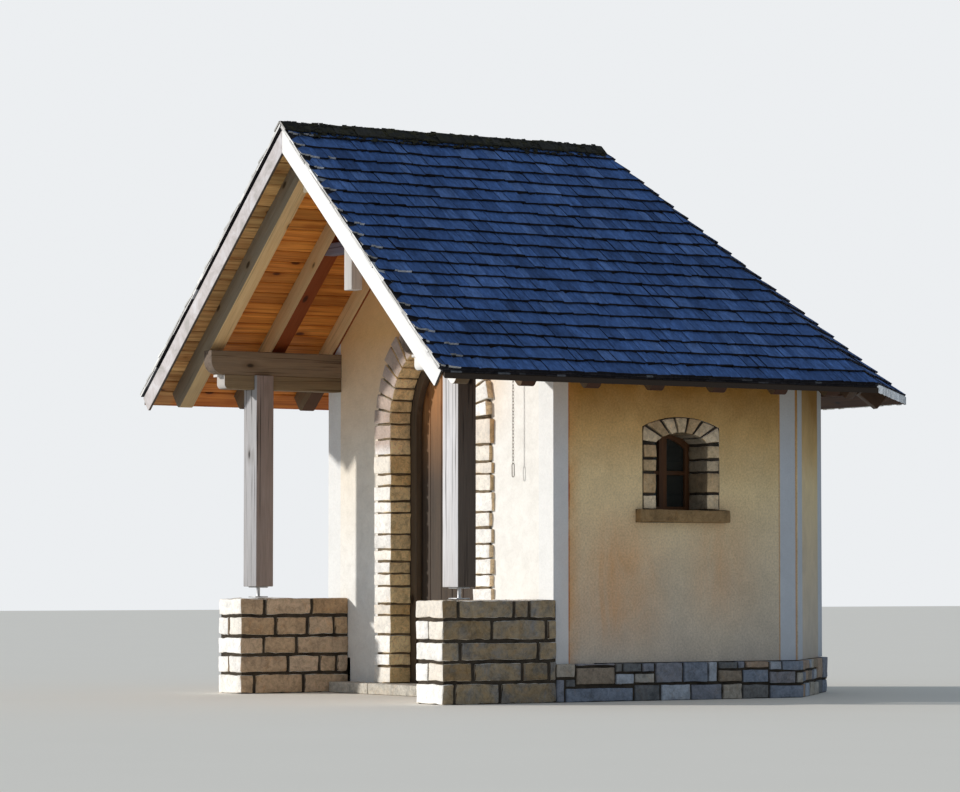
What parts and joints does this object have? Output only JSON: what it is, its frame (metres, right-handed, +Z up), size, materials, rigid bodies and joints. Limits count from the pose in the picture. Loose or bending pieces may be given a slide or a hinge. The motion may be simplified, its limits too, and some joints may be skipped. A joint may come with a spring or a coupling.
{
  "type": "small wayside chapel with a porch and an apse",
  "caption": "Small plastered chapel with a steep shingled roof, open timber porch on low stone walls, round arched door, side windows and a half octagonal apse.",
  "frame": {"origin": "on the ground, below the middle of the roof's outline", "axes": "+Z up, the doorway faces -Y, the apse closes the +Y end, +X is the right side seen from the door's outside"},
  "size_m": [3.91, 4.429, 3.6933],
  "materials": {
    "plaster": "matt lime plaster, ochre with cream edges",
    "limestone": "dressed stone with a rough face",
    "rubble": "mixed grey stones in mortar",
    "shingles": "weathered dark split shingles",
    "pine_boards": "oiled pine boards",
    "timber": "planed timber, tan",
    "grey_timber": "weathered timber",
    "white_board": "pale weathered board",
    "door_wood": "reddish brown stained boards",
    "sash_wood": "brown painted wood",
    "ironwork": "dark forged iron",
    "steel": "galvanised",
    "glass": "clear pane"
  },
  "bodies": {
    "chapel": {"apse_rafters": "timber", "apse_shingles": "shingles", "apse_wall_back": "plaster", "apse_wall_left": "plaster", "apse_wall_right": "plaster", "bargeboards": "white_board", "collar_beam": "grey_timber", "door_arch": "limestone", "door_frame": "door_wood", "door_jambs": "limestone", "door_pintles": "ironwork", "doorstep": "limestone", "eave_purlins": "grey_timber", "floor_slab": "limestone", "front_wall_gable": "plaster", "front_wall_left": "plaster", "front_wall_right": "plaster", "hanging_chain": "ironwork", "hip_rafters": "timber", "king_post": "white_board", "plinth_apse": "rubble", "plinth_left": "rubble", "plinth_right": "rubble", "porch_beams": "grey_timber", "porch_wall_left": "limestone", "porch_wall_right": "limestone", "post_feet": "steel", "posts": "grey_timber", "rafters_left": "timber", "rafters_right": "timber", "ridge_cap": "shingles", "ridge_purlin": "timber", "roof_boards_apse": "pine_boards", "roof_boards_left": "pine_boards", "roof_boards_right": "pine_boards", "roof_shingles_left": "shingles", "roof_shingles_right": "shingles", "side_wall_left": "plaster", "side_wall_right": "plaster", "window_glass": "glass", "window_sashes": "sash_wood", "window_sills": "limestone", "window_surrounds": "limestone"},
    "door": {"door_leaf": "door_wood", "door_straps": "ironwork"}
  },
  "joints": [
    {"name": "door_hinge", "type": "hinge", "parent": "chapel", "child": "door", "pos_m": [-0.496, -0.8255, 0.33], "axis": [0, 0, 1], "range_deg": [0, 95]}
  ]
}
